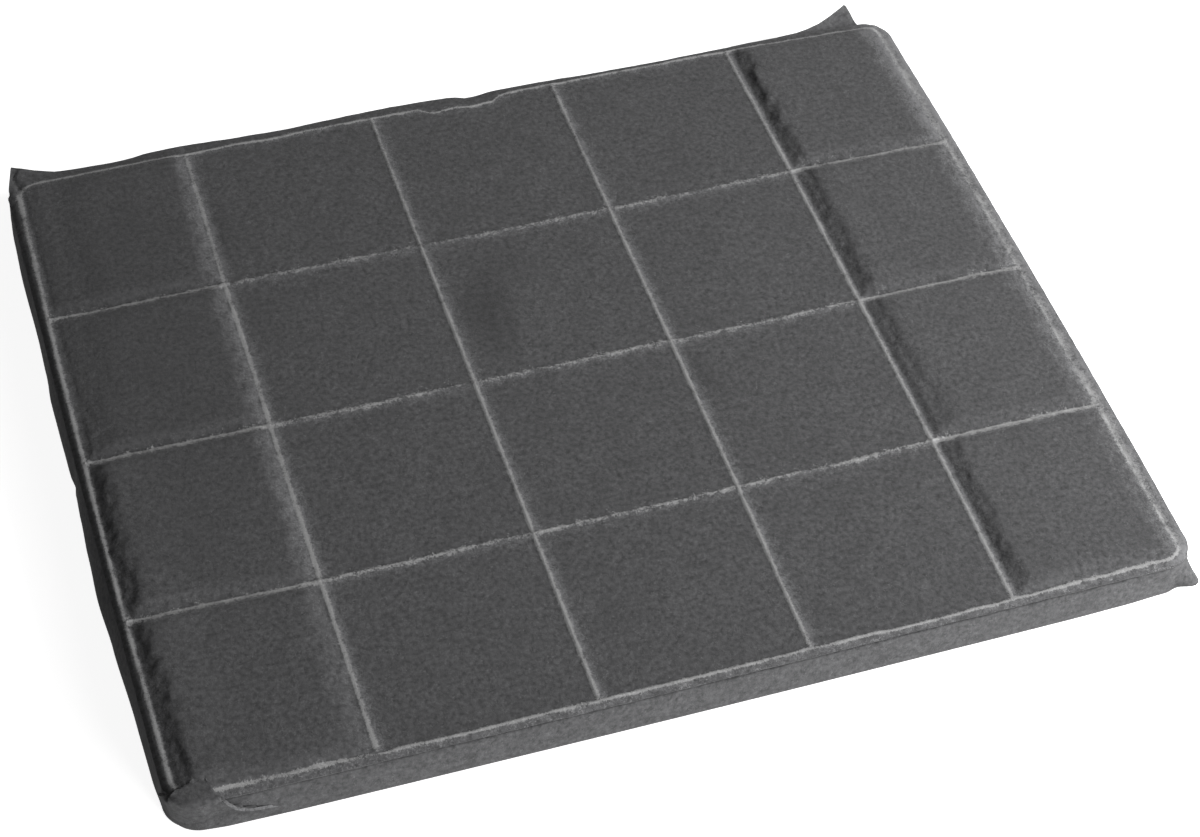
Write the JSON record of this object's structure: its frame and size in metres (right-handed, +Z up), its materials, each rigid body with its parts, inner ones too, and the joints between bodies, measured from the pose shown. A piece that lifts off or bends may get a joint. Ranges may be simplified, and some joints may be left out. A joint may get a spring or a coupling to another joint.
{
  "type": "cooker hood carbon filter",
  "caption": "Flat rectangular odour filter: carbon granules held in the cells of a moulded grid frame, sealed between black fleece sheets with folded corners.",
  "frame": {"origin": "middle of the flat underside, on the surface that the panel lies on", "axes": "+X along the panel's long side, +Y across it towards the far side, +Z up through the pillowed upper fleece"},
  "size_m": [0.2436, 0.2025, 0.0141],
  "materials": {
    "fleece": "needled polyester fleece, dark grey, matt",
    "frame_plastic": "moulded polypropylene, black",
    "carbon_granules": "loose activated carbon granules"
  },
  "bodies": {
    "root": {"grid_frame": "frame_plastic", "face_fleece": "fleece", "wrap_fleece": "fleece", "carbon_bed_r1_c1": "carbon_granules", "carbon_bed_r1_c2": "carbon_granules", "carbon_bed_r1_c3": "carbon_granules", "carbon_bed_r1_c4": "carbon_granules", "carbon_bed_r1_c5": "carbon_granules", "carbon_bed_r2_c1": "carbon_granules", "carbon_bed_r2_c2": "carbon_granules", "carbon_bed_r2_c3": "carbon_granules", "carbon_bed_r2_c4": "carbon_granules", "carbon_bed_r2_c5": "carbon_granules", "carbon_bed_r3_c1": "carbon_granules", "carbon_bed_r3_c2": "carbon_granules", "carbon_bed_r3_c3": "carbon_granules", "carbon_bed_r3_c4": "carbon_granules", "carbon_bed_r3_c5": "carbon_granules", "carbon_bed_r4_c1": "carbon_granules", "carbon_bed_r4_c2": "carbon_granules", "carbon_bed_r4_c3": "carbon_granules", "carbon_bed_r4_c4": "carbon_granules", "carbon_bed_r4_c5": "carbon_granules"}
  },
  "joints": []
}
